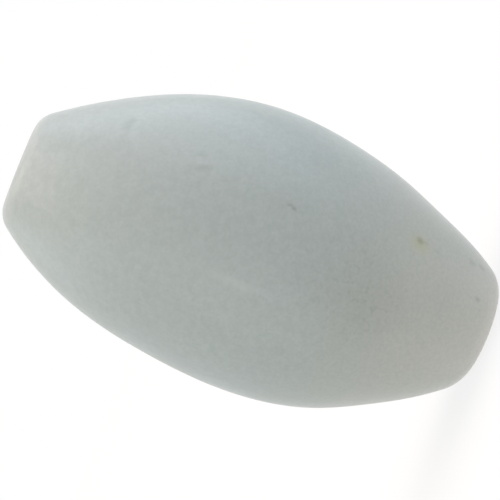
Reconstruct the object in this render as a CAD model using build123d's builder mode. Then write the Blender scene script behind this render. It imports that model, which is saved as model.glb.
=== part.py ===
"""Magnetic stir bar of the rugby-ball kind: a seamless fluoropolymer jacket moulded round a rod magnet.

The bar stands on its flat foot. +Z runs up its long axis, the origin is at the middle of the foot,
and every length is in millimetres.
"""

import os

from build123d import *

# Jacket: a barrel with a round waist and a flat face at each end
bar_length = 35.0
waist_diameter = 20.0
end_diameter = 7.4
foot_rim_radius = 3.0
crown_rim_radius = 2.0

# Magnet: a rod with broken edges, sealed in the middle of the jacket
magnet_diameter = 8.0
magnet_edge_chamfer = 0.4
end_wall = 5.0

# Sizes and places that follow from those above
waist_radius = waist_diameter / 2
end_radius = end_diameter / 2
mid_height = bar_length / 2
magnet_length = bar_length - 2 * end_wall

# The rod magnet comes first, because the jacket is moulded round it
with BuildPart() as rod_magnet:
    with BuildSketch(Plane.XY.offset(end_wall)):
        Circle(magnet_diameter / 2)
    extrude(amount=magnet_length)
    chamfer(rod_magnet.edges().filter_by(GeomType.CIRCLE), magnet_edge_chamfer)
rod_magnet.part.label = "rod_magnet"

with BuildPart() as ptfe_jacket:
    # Half of the long section: one arc rises from the foot, over the waist, to the crown
    with BuildSketch(Plane.XZ) as half_section:
        with BuildLine():
            Line((0, 0), (end_radius, 0))
            ThreePointArc((end_radius, 0), (waist_radius, mid_height), (end_radius, bar_length))
            Line((end_radius, bar_length), (0, bar_length))
            Line((0, bar_length), (0, 0))
        make_face()

        # The crown keeps a crisper rim, and the foot's rim is rounded further
        foot_corner = half_section.vertices().group_by(Axis.Y)[0].sort_by(Axis.X)[-1]
        fillet(foot_corner, foot_rim_radius)
        crown_corner = half_section.vertices().group_by(Axis.Y)[-1].sort_by(Axis.X)[-1]
        fillet(crown_corner, crown_rim_radius)
    revolve(axis=Axis.Z)

    # The pocket is the magnet's own shape, so the jacket touches it all over
    add(rod_magnet.part, mode=Mode.SUBTRACT)
ptfe_jacket.part.label = "ptfe_jacket"

os.makedirs("parts", exist_ok=True)
export_step(ptfe_jacket.part, "parts/ptfe_jacket.step")
export_step(rod_magnet.part, "parts/rod_magnet.step")
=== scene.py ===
"""Looks of the magnetic stir bar: its waxy moulded jacket with the marks on it, and its magnet.

The floor, the light and the camera are set here too. Lengths are in metres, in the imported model's
frame: the bar stands on its foot and +Z runs up its long axis. A turn is an angle round that axis,
from +X towards the camera's side at -Y.
"""

from collections import namedtuple
from math import atan2, cos, exp, pi, radians, sin, sqrt

import bmesh
import bpy
from mathutils import Matrix, Vector, noise


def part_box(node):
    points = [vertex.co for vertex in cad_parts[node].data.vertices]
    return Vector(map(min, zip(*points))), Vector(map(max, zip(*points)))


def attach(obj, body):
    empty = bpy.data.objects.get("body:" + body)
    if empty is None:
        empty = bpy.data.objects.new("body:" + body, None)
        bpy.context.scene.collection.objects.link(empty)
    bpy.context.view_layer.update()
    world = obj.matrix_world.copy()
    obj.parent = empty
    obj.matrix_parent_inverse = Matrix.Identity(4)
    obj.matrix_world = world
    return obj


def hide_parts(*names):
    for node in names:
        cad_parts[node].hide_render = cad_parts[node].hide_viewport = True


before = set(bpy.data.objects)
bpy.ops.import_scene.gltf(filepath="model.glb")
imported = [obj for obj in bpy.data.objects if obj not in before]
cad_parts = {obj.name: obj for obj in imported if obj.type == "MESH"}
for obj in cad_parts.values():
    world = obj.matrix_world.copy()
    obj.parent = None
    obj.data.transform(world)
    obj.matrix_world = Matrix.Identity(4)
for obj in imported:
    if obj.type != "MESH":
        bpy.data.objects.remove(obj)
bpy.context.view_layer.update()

# Jacket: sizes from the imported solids, and the section that the bar is drawn with
jacket_low, jacket_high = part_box("ptfe_jacket")
magnet_low, magnet_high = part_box("rod_magnet")
bar_length = jacket_high.z - jacket_low.z
waist_radius = (jacket_high.x - jacket_low.x) / 2
end_radius = 0.0037
foot_rim_radius = 0.0030
crown_rim_radius = 0.0020
magnet_radius = (magnet_high.x - magnet_low.x) / 2
magnet_edge_chamfer = 0.0004

# The barrel's arc, worked out from those sizes
mid_height = bar_length / 2
bulge = waist_radius - end_radius
arc_radius = (mid_height**2 + bulge**2) / (2 * bulge)
arc_centre = waist_radius - arc_radius
bar_middle = Vector((0, 0, mid_height))

# Mesh fineness
turn_steps = 288
barrel_steps = 220
rim_steps = 16
flat_steps = 8
pocket_turn_steps = 96

# How the moulding departs from a true barrel
axis_waver = 0.00022
axis_waver_half_waves = 3
axis_waver_phase = 0.547
axis_shift = -0.0001
end_lean = -0.0243
lean_pivot = 0.0025
flank_dip = 0.00018
flank_dip_height = 0.0060
flank_dip_reach = 0.0030
skin_unevenness = 0.00003
skin_unevenness_spacing = 0.007

# The share of its full size that the bar is drawn at, so that it leans inside the solids' box
drawn_size_share = 0.9954

# A shallow nick by the crown: its middle's height and turn, its length, width, lean and depth
Nick = namedtuple("Nick", "height turn length width lean depth")
nick = Nick(0.02868, 44.4, 0.00160, 0.00090, 78, 0.000025)

# Colours of the jacket's skin in linear light, and how much of each one shows
jacket_pale = (0.457, 0.491, 0.470, 1.0)
jacket_dull = (0.414, 0.446, 0.427, 1.0)
jacket_rosy = (0.446, 0.466, 0.451, 1.0)
# Painted warm bounce light: a warmer tint that stands in for light thrown up from the floor onto the foot
# end
jacket_warm_bounce_tint = (0.464, 0.468, 0.426, 1.0)
jacket_grain = (0.33, 0.35, 0.335, 1.0)
jacket_pepper = (0.25, 0.26, 0.25, 1.0)
# The painted warm bounce is full below the first height and gone above the second, at this strength
warm_bounce_full_height = 0.0050
warm_bounce_from_height = 0.0160
warm_bounce_share = 0.85
rosy_share = 0.5
foot_grain_share = 0.24
crown_grain_share = 0.14
pepper_share = 0.05
# Painted shade: how much denser the dark pepper specks grow inside the painted shade patch
painted_shade_pepper_share = 0.16

# Noises of the skin: how far apart the spots are, how fine and how deep, and the values eased over
cloud_spacing = 0.0030
cloud_detail = 4.0
gloss_detail = 3.0
mottle_spacing = 0.00055
mottle_detail = 5.0
mottle_relief_detail = 3.0
mottle_range = (0.25, 0.75)
mottle_depth = 0.000002
grain_spacing = 0.00021
grain_detail = 1.0
grain_relief_detail = 2.0
grain_depth = 0.000006
pepper_spacing = 0.00030
pepper_detail = 0.0
pepper_range = (0.58, 0.76)
usual_range = (0.3, 0.7)
noise_middle = (0.5, 0.5, 0.5)

# How the skin takes the light
jacket_roughness = (0.28, 0.34)
jacket_ior = 1.31
subsurface_share = 0.2
subsurface_radius = (1.0, 1.0, 0.9)
subsurface_scale = 0.0006

# Marks on the skin: the middle's height and turn, length, width, lean, colour and how much it covers
Mark = namedtuple("Mark", "height turn length width lean colour cover_share")
mark_edge_waver = 0.00014
mark_edge_spacing = 0.00030
mark_edge_detail = 2.0
mark_depth = 0.002
speck_brown = (0.10, 0.095, 0.045, 1.0)
speck_ochre = (0.44, 0.45, 0.29, 1.0)
# Grey of soil specks, and of painted shade in the nicks
soil_and_shade_grey = (0.12, 0.12, 0.115, 1.0)
# Pale of a painted highlight by a small nick, and of a pale streak along the barrel
pale_streak_and_highlight = (0.74, 0.76, 0.73, 1.0)
# Painted shade: a broad brownish darkening over the foot half's side that faces the camera, where the
# shading is darkest
painted_shade_brown = (0.17, 0.13, 0.11, 1.0)
painted_shade_patch = Mark(0.0095, 93.0, 0.0210, 0.0120, 0, painted_shade_brown, 0.08)
marks = [
    Mark(0.00728, 56.0, 0.00270, 0.00230, 0, speck_ochre, 0.60),
    Mark(0.00740, 54.3, 0.00200, 0.00170, 0, speck_brown, 0.06),
    Mark(0.00738, 53.9, 0.00092, 0.00084, 0, speck_brown, 0.34),
    Mark(0.00690, 53.0, 0.00080, 0.00056, 0, speck_brown, 0.12),
    Mark(0.00592, 53.0, 0.00075, 0.00060, 0, soil_and_shade_grey, 0.14),
    Mark(0.00201, 64.4, 0.00072, 0.00060, 0, soil_and_shade_grey, 0.30),
    Mark(0.00162, 72.0, 0.00060, 0.00055, 0, soil_and_shade_grey, 0.07),
    Mark(0.00308, 39.4, 0.00110, 0.00095, 0, soil_and_shade_grey, 0.18),
    Mark(0.00223, 34.0, 0.00115, 0.00085, 30, soil_and_shade_grey, 0.20),
    Mark(0.01688, 68.5, 0.00072, 0.00040, 22, soil_and_shade_grey, 0.24),
    Mark(0.01652, 69.2, 0.00070, 0.00050, -26, soil_and_shade_grey, 0.34),
    # Painted shade in the nick by the crown, laid over the dent that the mesh has
    Mark(0.02868, 44.4, 0.00165, 0.00095, 78, soil_and_shade_grey, 0.17),
    Mark(0.02890, 49.4, 0.00130, 0.00080, 26, soil_and_shade_grey, 0.14),
    # Painted shade and painted highlight of a small nick: two dark streaks with a pale one between
    Mark(0.02307, 64.9, 0.00210, 0.00092, 23, soil_and_shade_grey, 0.13),
    Mark(0.02343, 59.3, 0.00160, 0.00060, 23, soil_and_shade_grey, 0.07),
    Mark(0.02325, 62.0, 0.00230, 0.00090, 23, pale_streak_and_highlight, 0.06),
    # A pale streak along the barrel, and a faint darker streak below it
    Mark(0.01835, 104.6, 0.00640, 0.00115, 0, pale_streak_and_highlight, 0.13),
    Mark(0.01700, 107.0, 0.00300, 0.00090, 0, soil_and_shade_grey, 0.03),
]

# The magnet's ground metal: its two greys, the rings that the wheel left, and its blotches
magnet_dark = (0.16, 0.16, 0.17, 1.0)
magnet_light = (0.32, 0.32, 0.32, 1.0)
magnet_roughness = (0.35, 0.6)
ring_scale = (300.0, 300.0, 9000.0)
ring_detail = 3.0
ring_strength_share = 0.2
ring_depth = 0.00002
blotch_scale = 700.0
blotch_detail = 5.0

# Floor and studio
floor_size = 1.2
floor_colour = (0.86, 0.85, 0.82, 1.0)
floor_white_share = 0.8
world_light = (0.32, 0.32, 0.32, 1.0)
white = (1.0, 1.0, 1.0, 1.0)

# Soft lamps round the bar: turn, elevation and roll in degrees, width and height, brightness and colour
Softbox = namedtuple("Softbox", "turn elevation roll width height brightness colour")
studio_radius = 3.0
softboxes = {
    "key": Softbox(1, 17, -59, 2.80, 4.95, 1.86, (0.85, 1.0, 1.12)),
    "crown": Softbox(40, 88, 36, 2.76, 3.27, 2.70, (1.18, 1.0, 0.92)),
    "fill": Softbox(180, 36, 5, 4.77, 1.20, 1.00, (0.76, 1.0, 1.10)),
    "foot": Softbox(318, -85, 35, 3.15, 5.40, 1.16, (1.11, 1.0, 0.97)),
    "front": Softbox(130, -4, 39, 3.30, 2.97, 1.42, (0.93, 1.0, 0.98)),
}

# Camera: where it stands round the bar, and how the picture is framed
camera_distance = 0.17636
camera_elevation = radians(4.0)
axis_slope_in_picture = radians(20.54)
camera_lens = 180.0
sensor_width = 36.0
clip_start_share = 0.01
picture_size = 500
bar_middle_in_picture = (252.6, 249.4)

# A Mix node has sockets for every kind of value, and these are the ones that mix colours
mix_share_socket = 0
mix_first_socket = 6
mix_second_socket = 7
mix_result_socket = 2


def smooth_step(value):
    """0 below 0, 1 above 1, and an easy curve between."""
    value = min(max(value, 0.0), 1.0)
    return value * value * (3 - 2 * value)


def barrel_radius(height):
    """The true barrel's radius at a height."""
    return arc_centre + sqrt(arc_radius**2 - (height - mid_height) ** 2)


def rim_arc(rim_radius):
    """Points (height, radius) of the rim of an end at height 0, from its flat to the barrel."""
    centre_radius = arc_centre + sqrt((arc_radius - rim_radius) ** 2 - (rim_radius - mid_height) ** 2)
    touch = atan2(centre_radius - arc_centre, rim_radius - mid_height)
    angles = [pi + (touch - pi) * step / rim_steps for step in range(rim_steps + 1)]
    return [(rim_radius * (1 + cos(a)), centre_radius + rim_radius * sin(a)) for a in angles]


def end_section(rim_radius):
    """Points (height, radius) of an end at height 0, from the middle of its flat over its rim."""
    rim = rim_arc(rim_radius)
    flat_radius = rim[0][1]
    flat = [(0.0, flat_radius * step / flat_steps) for step in range(flat_steps)]
    return flat + rim


def jacket_section():
    """Points (height, radius) up the jacket's outside, from the foot's middle to the crown's."""
    foot = end_section(foot_rim_radius)
    crown = [(bar_length - height, radius) for height, radius in reversed(end_section(crown_rim_radius))]
    lowest = foot[-1][0]
    highest = crown[0][0]
    heights = [lowest + (highest - lowest) * step / barrel_steps for step in range(1, barrel_steps)]
    barrel = [(height, barrel_radius(height)) for height in heights]
    return foot + barrel + crown


def pocket_section():
    """Points (height, radius) of the pocket that the magnet fills, from its low end to its high end."""
    inner_radius = magnet_radius - magnet_edge_chamfer
    return [
        (magnet_low.z, 0.0),
        (magnet_low.z, inner_radius),
        (magnet_low.z + magnet_edge_chamfer, magnet_radius),
        (magnet_high.z - magnet_edge_chamfer, magnet_radius),
        (magnet_high.z, inner_radius),
        (magnet_high.z, 0.0),
    ]


def add_revolved(mesh, section, steps, shape=None, inside=False):
    """Turns a section that ends on the axis into a closed skin, each point moved by shape if given."""
    rings = []
    for height, radius in section:
        turns = [2 * pi * step / steps for step in range(steps)] if radius else [0.0]
        points = [Vector((radius * cos(turn), -radius * sin(turn), height)) for turn in turns]
        rings.append([mesh.verts.new(shape(point) if shape else point) for point in points])
    for lower, upper in zip(rings, rings[1:]):
        for step in range(steps):
            after = (step + 1) % steps
            corners = [lower[step % len(lower)], upper[step % len(upper)]]
            if len(upper) > 1:
                corners.append(upper[after])
            if len(lower) > 1:
                corners.append(lower[after])
            mesh.faces.new(reversed(corners) if inside else corners)


def mark_axes(mark):
    """The middle of a mark on the barrel, and its directions along, across and outward."""
    turn, lean = radians(mark.turn), radians(mark.lean)
    outward = Vector((cos(turn), -sin(turn), 0))
    around = Vector((-sin(turn), -cos(turn), 0))
    along = Vector((0, 0, cos(lean))) + around * sin(lean)
    middle = outward * barrel_radius(mark.height) + Vector((0, 0, mark.height))
    return middle, along, outward.cross(along), outward


def nick_dent(point):
    """How deep the nick is at a point of the skin: most at its middle, and nothing at its oval's edge."""
    middle, along, across, outward = mark_axes(nick)
    offset = point - middle
    length_share = offset.dot(along) / (nick.length / 2)
    width_share = offset.dot(across) / (nick.width / 2)
    depth_share = offset.dot(outward) / mark_depth
    return nick.depth * smooth_step(1 - Vector((length_share, width_share, depth_share)).length)


def moulded(point):
    """Where a point of the true barrel is drawn, with the moulding's waver, dip and lean and the nick."""
    wave = axis_waver_half_waves * pi * (point.z - mid_height) / bar_length + axis_waver_phase
    waver = axis_waver * sin(wave) + axis_shift
    dip = flank_dip * exp(-(((point.z - flank_dip_height) / flank_dip_reach) ** 2))
    from_axis = Vector((point.x, point.y, 0))
    outward = from_axis.normalized()
    swell_share = min(from_axis.length / end_radius, 1.0)
    swell = skin_unevenness * noise.noise(point / skin_unevenness_spacing) - dip
    moved = point + outward * swell * swell_share + Vector((waver, 0, 0))
    moved.z += end_lean * (moved.x - lean_pivot)
    drawn = moved * drawn_size_share
    return drawn - outward * nick_dent(drawn)


def add_object(name, data):
    """A new object in the scene that holds the data."""
    made = bpy.data.objects.new(name, data)
    bpy.context.collection.objects.link(made)
    return made


def add_mesh_object(name, mesh):
    """A new object in the scene that takes over the mesh."""
    data = bpy.data.meshes.new(name)
    mesh.to_mesh(data)
    mesh.free()
    return add_object(name, data)


def make_jacket():
    """The jacket as one closed skin outside and the magnet's pocket inside."""
    mesh = bmesh.new()
    add_revolved(mesh, jacket_section(), turn_steps, moulded)
    add_revolved(mesh, pocket_section(), pocket_turn_steps, inside=True)
    for face in mesh.faces:
        face.smooth = True
    return add_mesh_object("moulded_jacket", mesh)


def add_node(tree, kind, inputs=None, **properties):
    """A new node, whose inputs are linked where a socket is given and set where a value is."""
    made = tree.nodes.new(kind)
    for name, value in properties.items():
        setattr(made, name, value)
    for socket, value in (inputs or {}).items():
        if isinstance(value, bpy.types.NodeSocket):
            tree.links.new(value, made.inputs[socket])
        else:
            made.inputs[socket].default_value = value
    return made


def new_material(name):
    """A material with nodes, and its tree, which is still empty."""
    material = bpy.data.materials.new(name)
    material.use_nodes = True
    material.node_tree.nodes.clear()
    return material, material.node_tree


def mix_colour(tree, share, first, second):
    """A colour between first and second: all first where share is 0, all second where it is 1."""
    inputs = {mix_share_socket: share, mix_first_socket: first, mix_second_socket: second}
    return add_node(tree, "ShaderNodeMix", inputs, data_type="RGBA").outputs[mix_result_socket]


def ramp(tree, value, low, high, to_low=0.0, to_high=1.0):
    """value eased from the range low to high onto the range to_low to to_high."""
    inputs = {"Value": value, "From Min": low, "From Max": high, "To Min": to_low, "To Max": to_high}
    return add_node(tree, "ShaderNodeMapRange", inputs, interpolation_type="SMOOTHSTEP").outputs[0]


def noise_value(tree, place, spacing, detail):
    """Soft noise from 0 to 1 whose largest spots are about spacing apart."""
    inputs = {"Vector": place, "Scale": 1 / spacing, "Detail": detail}
    return add_node(tree, "ShaderNodeTexNoise", inputs).outputs["Fac"]


def maths(tree, operation, first, second):
    """The two values put together by one operation."""
    return add_node(tree, "ShaderNodeMath", {0: first, 1: second}, operation=operation).outputs[0]


def vector_maths(tree, operation, inputs):
    """A vector worked out from the inputs by one operation."""
    return add_node(tree, "ShaderNodeVectorMath", inputs, operation=operation).outputs[0]


def wavering(tree, place):
    """The place moved about a little, so that a mark's edge is uneven."""
    inputs = {"Vector": place, "Scale": 1 / mark_edge_spacing, "Detail": mark_edge_detail}
    waves = add_node(tree, "ShaderNodeTexNoise", inputs).outputs["Color"]
    centred = vector_maths(tree, "SUBTRACT", {0: waves, 1: noise_middle})
    small = vector_maths(tree, "SCALE", {0: centred, "Scale": mark_edge_waver})
    return vector_maths(tree, "ADD", {0: place, 1: small})


def mark_cover(tree, place, mark, most):
    """How much of a mark shows: most at its middle, fading to nothing at the edge of its oval."""
    middle, along, across, outward = mark_axes(mark)
    inputs = {
        "Vector": place,
        "Location": middle,
        "Rotation": Matrix((along, across, outward)).transposed().to_euler(),
        "Scale": (mark.length / 2, mark.width / 2, mark_depth),
    }
    oval = add_node(tree, "ShaderNodeMapping", inputs, vector_type="TEXTURE").outputs[0]
    distance = add_node(tree, "ShaderNodeVectorMath", {0: oval}, operation="LENGTH").outputs["Value"]
    return ramp(tree, distance, 0.0, 1.0, most, 0.0)


def jacket_colour(tree, place, height):
    """Grey-white PTFE, mottled and grainy, with painted warm bounce light towards the foot, painted shade
    over the foot half's side that faces the camera, and the marks on it.
    """
    mottle = ramp(tree, noise_value(tree, place, mottle_spacing, mottle_detail), *mottle_range)
    cloud = noise_value(tree, place, cloud_spacing, cloud_detail)
    rosy = ramp(tree, cloud, *usual_range, 0.0, rosy_share)
    # Painted warm bounce light, strongest at the foot
    painted_warm_bounce = ramp(tree, height, warm_bounce_full_height, warm_bounce_from_height, warm_bounce_share, 0.0)
    grain = ramp(tree, noise_value(tree, place, grain_spacing, grain_detail), *usual_range)
    grain_share = ramp(tree, height, 0.0, bar_length, foot_grain_share, crown_grain_share)
    colour = mix_colour(tree, mottle, jacket_pale, jacket_dull)
    colour = mix_colour(tree, rosy, colour, jacket_rosy)
    colour = mix_colour(tree, painted_warm_bounce, colour, jacket_warm_bounce_tint)
    colour = mix_colour(tree, maths(tree, "MULTIPLY", grain, grain_share), colour, jacket_grain)
    # Painted shade over the foot half's side that faces the camera
    painted_shade = mark_cover(tree, place, painted_shade_patch, painted_shade_patch.cover_share)
    colour = mix_colour(tree, painted_shade, colour, painted_shade_patch.colour)
    pepper = ramp(tree, noise_value(tree, place, pepper_spacing, pepper_detail), *pepper_range)
    # Painted shade: the pepper specks grow denser inside the same patch
    painted_shade_pepper = mark_cover(tree, place, painted_shade_patch, painted_shade_pepper_share)
    pepper_and_painted_shade = maths(tree, "MULTIPLY", pepper, maths(tree, "ADD", painted_shade_pepper, pepper_share))
    colour = mix_colour(tree, pepper_and_painted_shade, colour, jacket_pepper)
    uneven_place = wavering(tree, place)
    for mark in marks:
        covered = mark_cover(tree, uneven_place, mark, mark.cover_share)
        colour = mix_colour(tree, covered, colour, mark.colour)
    return colour


def jacket_relief(tree, place):
    """Height of the skin's fine grain and its mottling, in metres."""
    grain = noise_value(tree, place, grain_spacing, grain_relief_detail)
    mottle = noise_value(tree, place, mottle_spacing, mottle_relief_detail)
    grain_height = maths(tree, "MULTIPLY", grain, grain_depth)
    mottle_height = maths(tree, "MULTIPLY", mottle, mottle_depth)
    return maths(tree, "ADD", grain_height, mottle_height)


def jacket_material():
    """Sintered PTFE: waxy and satin, faintly mottled, with a fine grain and the marks of use, and with
    painted shade, painted highlights and painted warm bounce light.
    """
    material, tree = new_material("moulded_ptfe")
    place = add_node(tree, "ShaderNodeTexCoord").outputs["Object"]
    height = add_node(tree, "ShaderNodeSeparateXYZ", {0: place}).outputs["Z"]
    relief = jacket_relief(tree, place)
    bump = add_node(tree, "ShaderNodeBump", {"Strength": 1.0, "Distance": 1.0, "Height": relief})
    gloss = noise_value(tree, place, cloud_spacing, gloss_detail)
    inputs = {
        "Base Color": jacket_colour(tree, place, height),
        "Roughness": ramp(tree, gloss, *usual_range, *jacket_roughness),
        "IOR": jacket_ior,
        "Subsurface Weight": subsurface_share,
        "Subsurface Radius": subsurface_radius,
        "Subsurface Scale": subsurface_scale,
        "Normal": bump.outputs["Normal"],
    }
    shader = add_node(tree, "ShaderNodeBsdfPrincipled", inputs)
    add_node(tree, "ShaderNodeOutputMaterial", {"Surface": shader.outputs[0]})
    return material


def magnet_material():
    """Ground aluminium-nickel-cobalt alloy: dull grey metal with fine rings left by the wheel."""
    material, tree = new_material("ground_magnet_alloy")
    place = add_node(tree, "ShaderNodeTexCoord").outputs["Object"]
    stretched = add_node(tree, "ShaderNodeMapping", {"Vector": place, "Scale": ring_scale}).outputs[0]
    ring_inputs = {"Vector": stretched, "Scale": 1.0, "Detail": ring_detail}
    rings = add_node(tree, "ShaderNodeTexNoise", ring_inputs).outputs["Fac"]
    blotch_inputs = {"Vector": place, "Scale": blotch_scale, "Detail": blotch_detail}
    blotch = add_node(tree, "ShaderNodeTexNoise", blotch_inputs).outputs["Fac"]
    bump_inputs = {"Strength": ring_strength_share, "Distance": ring_depth, "Height": rings}
    bump = add_node(tree, "ShaderNodeBump", bump_inputs)
    inputs = {
        "Base Color": mix_colour(tree, blotch, magnet_dark, magnet_light),
        "Metallic": 1.0,
        "Roughness": ramp(tree, rings, *usual_range, *magnet_roughness),
        "Normal": bump.outputs["Normal"],
    }
    shader = add_node(tree, "ShaderNodeBsdfPrincipled", inputs)
    add_node(tree, "ShaderNodeOutputMaterial", {"Surface": shader.outputs[0]})
    return material


def seen_directly(tree):
    """1 for light that the camera sees straight, by a mirror or through glass, and 0 for the rest."""
    path = add_node(tree, "ShaderNodeLightPath").outputs
    straight_or_mirrored = maths(tree, "MAXIMUM", path["Is Camera Ray"], path["Is Glossy Ray"])
    return maths(tree, "MAXIMUM", straight_or_mirrored, path["Is Transmission Ray"])


def make_floor():
    """A plain pale floor that shows white and keeps a soft shadow, but doesn't shade the bar."""
    mesh = bmesh.new()
    bmesh.ops.create_grid(mesh, x_segments=1, y_segments=1, size=floor_size / 2)
    floor = add_mesh_object("floor", mesh)
    material, tree = new_material("pale_floor")
    lit = add_node(tree, "ShaderNodeBsdfDiffuse", {"Color": floor_colour}).outputs[0]
    glow = add_node(tree, "ShaderNodeEmission", {"Color": white, "Strength": 1.0}).outputs[0]
    glow_share = maths(tree, "MULTIPLY", seen_directly(tree), floor_white_share)
    mixed = add_node(tree, "ShaderNodeMixShader", {0: glow_share, 1: lit, 2: glow})
    add_node(tree, "ShaderNodeOutputMaterial", {"Surface": mixed.outputs[0]})
    floor.data.materials.append(material)
    floor.visible_diffuse = False
    floor.visible_glossy = False
    floor.visible_shadow = False


def make_world():
    """An even studio: soft grey light all round, and a white surround where it is seen."""
    world = bpy.data.worlds.new("studio")
    bpy.context.scene.world = world
    world.use_nodes = True
    tree = world.node_tree
    tree.nodes.clear()
    colour = mix_colour(tree, seen_directly(tree), world_light, white)
    background = add_node(tree, "ShaderNodeBackground", {"Color": colour, "Strength": 1.0})
    add_node(tree, "ShaderNodeOutputWorld", {"Surface": background.outputs[0]})


def set_at(place, right, up, back):
    """The matrix that sets a lamp or a camera at a place, with its back turned to back."""
    return Matrix.Translation(place) @ Matrix((right, up, back)).transposed().to_4x4()


def add_softbox(name, box):
    """A soft rectangular lamp that faces the bar's middle."""
    lamp = bpy.data.lights.new(name, "AREA")
    lamp.shape = "RECTANGLE"
    lamp.size = box.width
    lamp.size_y = box.height
    lamp.energy = box.brightness * pi * box.width * box.height
    lamp.color = box.colour
    turn, elevation, roll = radians(box.turn), radians(box.elevation), radians(box.roll)
    away = Vector((cos(turn) * cos(elevation), -sin(turn) * cos(elevation), sin(elevation)))
    side = Vector((0, 0, 1)).cross(away).normalized()
    up = away.cross(side)
    rolled_side = side * cos(roll) + up * sin(roll)
    rolled_up = up * cos(roll) - side * sin(roll)
    softbox = add_object(name, lamp)
    softbox.matrix_world = set_at(bar_middle + away * studio_radius, rolled_side, rolled_up, away)
    softbox.visible_camera = False


def make_lights():
    """All the soft lamps."""
    for name, box in softboxes.items():
        add_softbox(name, box)


def make_camera():
    """Looks at the bar from the side and a little above, rolled so that the crown is up on the left."""
    data = bpy.data.cameras.new("camera")
    data.lens = camera_lens
    data.sensor_width = sensor_width
    data.clip_start = camera_distance * clip_start_share
    back = Vector((0, -cos(camera_elevation), sin(camera_elevation)))
    level_up = Vector((0, sin(camera_elevation), cos(camera_elevation)))
    level_right = Vector((1, 0, 0))
    roll = pi / 2 - axis_slope_in_picture
    right = level_right * cos(roll) - level_up * sin(roll)
    up = level_right * sin(roll) + level_up * cos(roll)
    pixel = camera_distance * sensor_width / camera_lens / picture_size
    aside = (picture_size / 2 - bar_middle_in_picture[0]) * pixel
    above = (bar_middle_in_picture[1] - picture_size / 2) * pixel
    place = bar_middle + back * camera_distance + right * aside + up * above
    camera = add_object("camera", data)
    camera.matrix_world = set_at(place, right, up, back)
    bpy.context.scene.camera = camera


jacket = make_jacket()
jacket.data.materials.append(jacket_material())
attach(jacket, "root")
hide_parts("ptfe_jacket")

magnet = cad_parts["rod_magnet"]
magnet.data.materials.clear()
magnet.data.materials.append(magnet_material())

make_floor()
make_world()
make_lights()
make_camera()
bpy.context.scene.view_settings.view_transform = "Standard"
